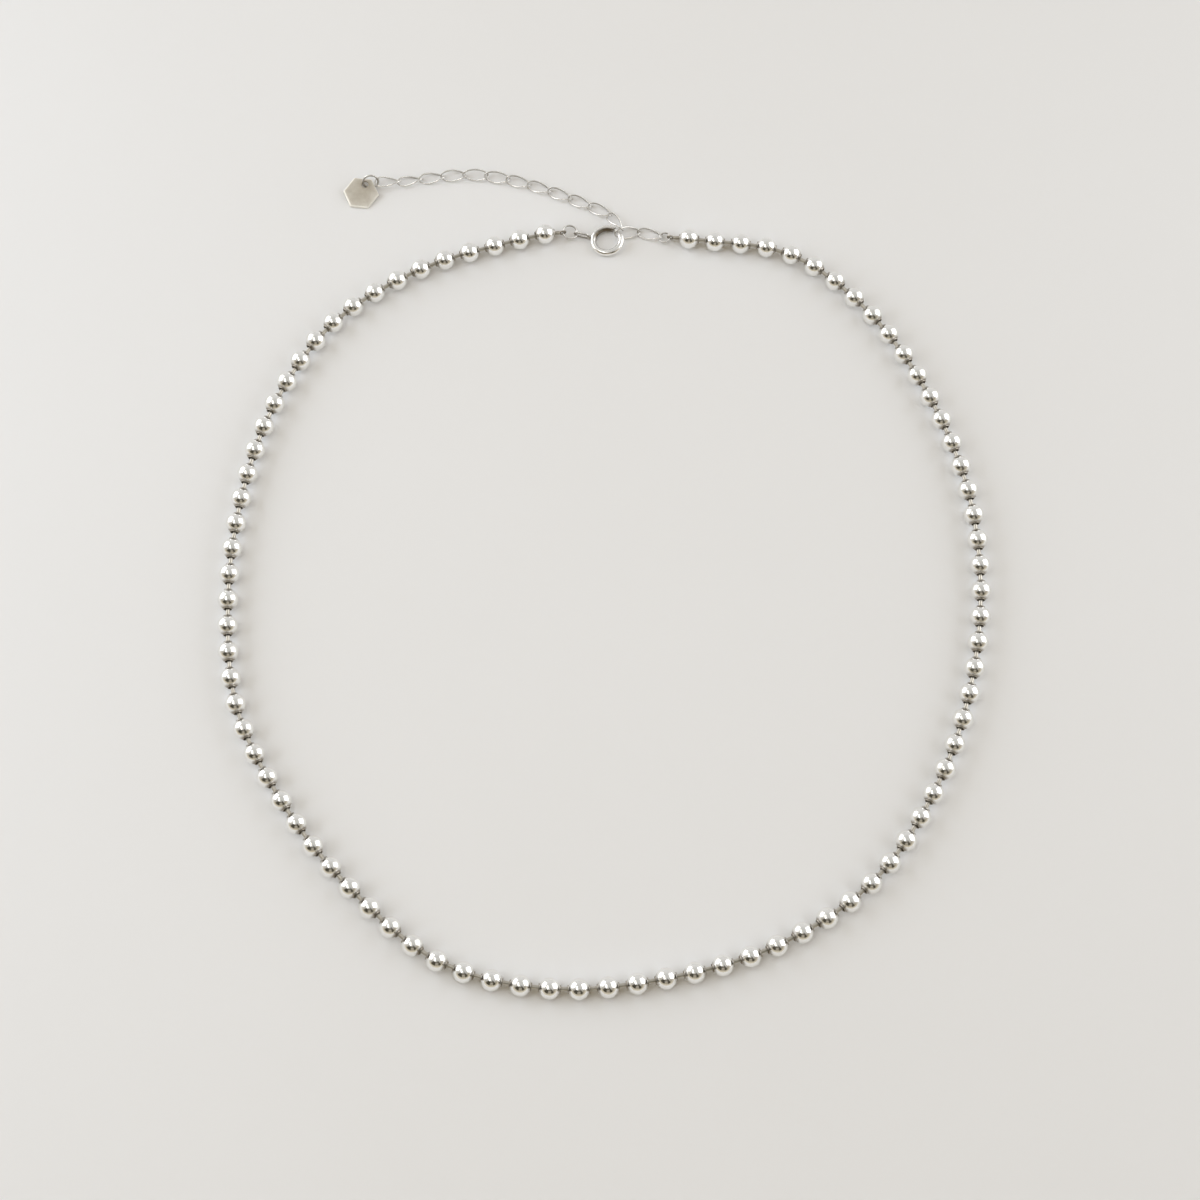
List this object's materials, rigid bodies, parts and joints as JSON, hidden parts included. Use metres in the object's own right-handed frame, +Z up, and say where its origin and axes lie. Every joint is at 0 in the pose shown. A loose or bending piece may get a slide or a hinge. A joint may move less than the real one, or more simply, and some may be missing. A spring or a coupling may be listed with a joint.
{
  "type": "beaded choker",
  "caption": "Choker of hollow silver beads on short bars, closed by a spring ring clasp, with an extender of twisted oval links that ends in a blank six-sided tag.",
  "frame": {"origin": "middle of the outline seen from above, on the surface that the choker lies on", "axes": "+Z up from the surface, +Y towards the clasp, +X to the right of a viewer who faces the clasp"},
  "size_m": [0.1086, 0.1254, 0.0029],
  "materials": {
    "polished_silver": "polished",
    "satin_silver": "satin"
  },
  "bodies": {
    "choker": {"beads": "polished_silver", "bars": "polished_silver", "end_pin_left": "polished_silver", "end_pin_right": "polished_silver", "jump_ring_left": "polished_silver", "jump_ring_right": "polished_silver", "clasp_ring": "polished_silver", "tag_ring": "polished_silver", "tag": "satin_silver", "link_01": "polished_silver", "link_02": "polished_silver", "link_03": "polished_silver", "link_04": "polished_silver", "link_05": "polished_silver", "link_06": "polished_silver", "link_07": "polished_silver", "link_08": "polished_silver", "link_09": "polished_silver", "link_10": "polished_silver", "link_11": "polished_silver", "link_12": "polished_silver", "link_13": "polished_silver", "link_14": "polished_silver"},
    "gate": {"clasp_gate": "polished_silver"}
  },
  "joints": [
    {"name": "gate_slide_round", "type": "hinge", "parent": "choker", "child": "gate", "pos_m": [-0.00137, 0.05142, 0.00069], "axis": [-0.1045, 0, 0.9945], "range_deg": [0, 43], "stiffness_Nm_per_rad": 0.003, "springref_deg": -17.19}
  ]
}
